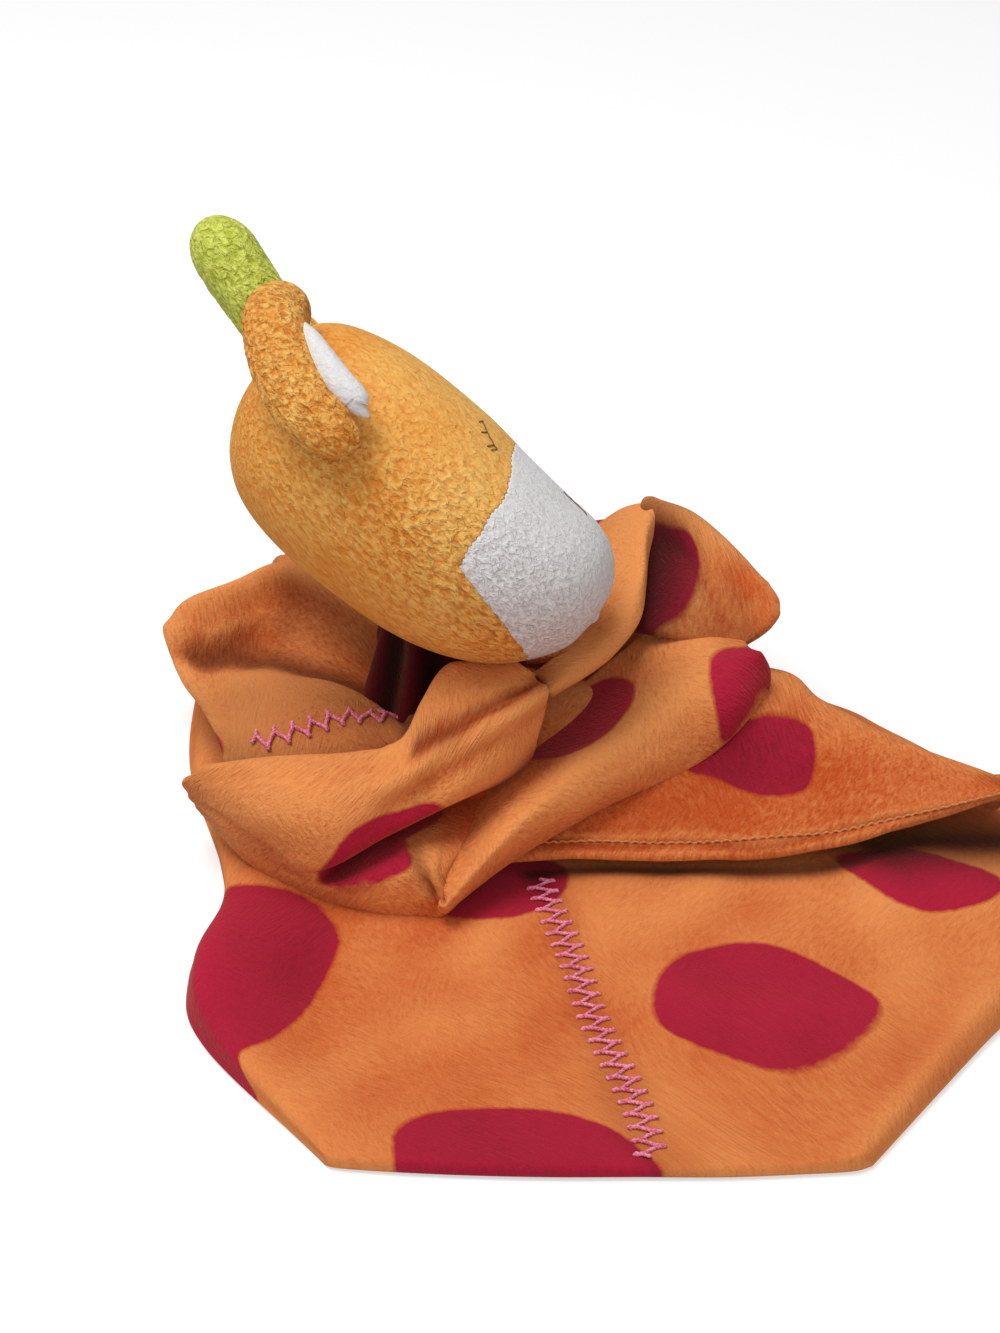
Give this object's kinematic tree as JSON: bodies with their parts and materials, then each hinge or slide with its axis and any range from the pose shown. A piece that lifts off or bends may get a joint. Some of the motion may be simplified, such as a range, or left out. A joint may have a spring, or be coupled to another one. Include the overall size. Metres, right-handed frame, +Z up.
{
  "type": "comfort blanket lovey",
  "caption": "Baby's comfort blanket of spotted velour, heaped in soft folds and gathered at the neck of a stuffed animal head with hanging ears and soft horns.",
  "frame": {"origin": "on the table, under the middle of the heap's bounding box", "axes": "+Z up, -Y towards the blanket's spread front hem, +X towards the side that the muzzle points to"},
  "size_m": [0.252, 0.255, 0.157],
  "materials": {
    "velour": "orange velour with magenta spots",
    "head_plush": "yellow-orange short curly plush",
    "white_plush": "white short plush",
    "green_plush": "lime green short plush",
    "filling": "loose polyester fibre",
    "dark_thread": "satin thread",
    "pink_thread": "satin thread",
    "hem_thread": "matt thread"
  },
  "bodies": {
    "blanket": {"blanket_table_layer": "velour", "blanket_right_flap": "velour", "blanket_middle_fold": "velour", "blanket_front_roll": "velour", "blanket_left_fold": "velour", "blanket_upright_fold": "velour", "blanket_rolled_edge": "velour", "blanket_back_fold": "velour", "blanket_neck_gather": "velour", "front_zigzag_thread": "pink_thread", "left_zigzag_thread": "pink_thread", "flap_hem_topstitch": "hem_thread"},
    "head": {"head_stuffing": "filling", "head_right_panel": "head_plush", "head_left_panel": "head_plush", "muzzle_cover": "white_plush", "right_eye_stitching": "dark_thread", "left_eye_stitching": "dark_thread", "right_nostril_stitching": "dark_thread", "left_nostril_stitching": "dark_thread"},
    "right_ear": {"right_ear_back": "head_plush", "right_ear_lining": "white_plush"},
    "left_ear": {"left_ear_back": "head_plush", "left_ear_lining": "white_plush"},
    "right_horn": {"right_horn_cover": "green_plush", "right_horn_stuffing": "filling"},
    "left_horn": {"left_horn_cover": "green_plush", "left_horn_stuffing": "filling"}
  },
  "joints": [
    {"name": "head_tilt", "type": "hinge", "parent": "blanket", "child": "head", "pos_m": [-0.0435, 0.0626, 0.062], "axis": [-1, 0, 0], "range_deg": [0, 20]},
    {"name": "right_ear_lift", "type": "hinge", "parent": "head", "child": "right_ear", "pos_m": [-0.0795, 0.0493, 0.136], "axis": [-0.9583, 0.164, 0.2342], "range_deg": [0, 35], "stiffness_Nm_per_rad": 0.01, "springref_deg": -5.73},
    {"name": "left_ear_lift", "type": "hinge", "parent": "head", "child": "left_ear", "pos_m": [-0.0795, 0.0756, 0.1176], "axis": [0.9583, -0.164, -0.2342], "range_deg": [0, 35], "stiffness_Nm_per_rad": 0.01, "springref_deg": -5.73},
    {"name": "right_horn_bend", "type": "hinge", "parent": "head", "child": "right_horn", "pos_m": [-0.0912, 0.0471, 0.1223], "axis": [0, -0.8192, 0.5736], "range_deg": [0, 25], "stiffness_Nm_per_rad": 0.02, "springref_deg": -5.73},
    {"name": "left_horn_bend", "type": "hinge", "parent": "head", "child": "left_horn", "pos_m": [-0.0912, 0.0635, 0.1109], "axis": [0, -0.8192, 0.5736], "range_deg": [0, 25], "stiffness_Nm_per_rad": 0.02, "springref_deg": -5.73}
  ]
}
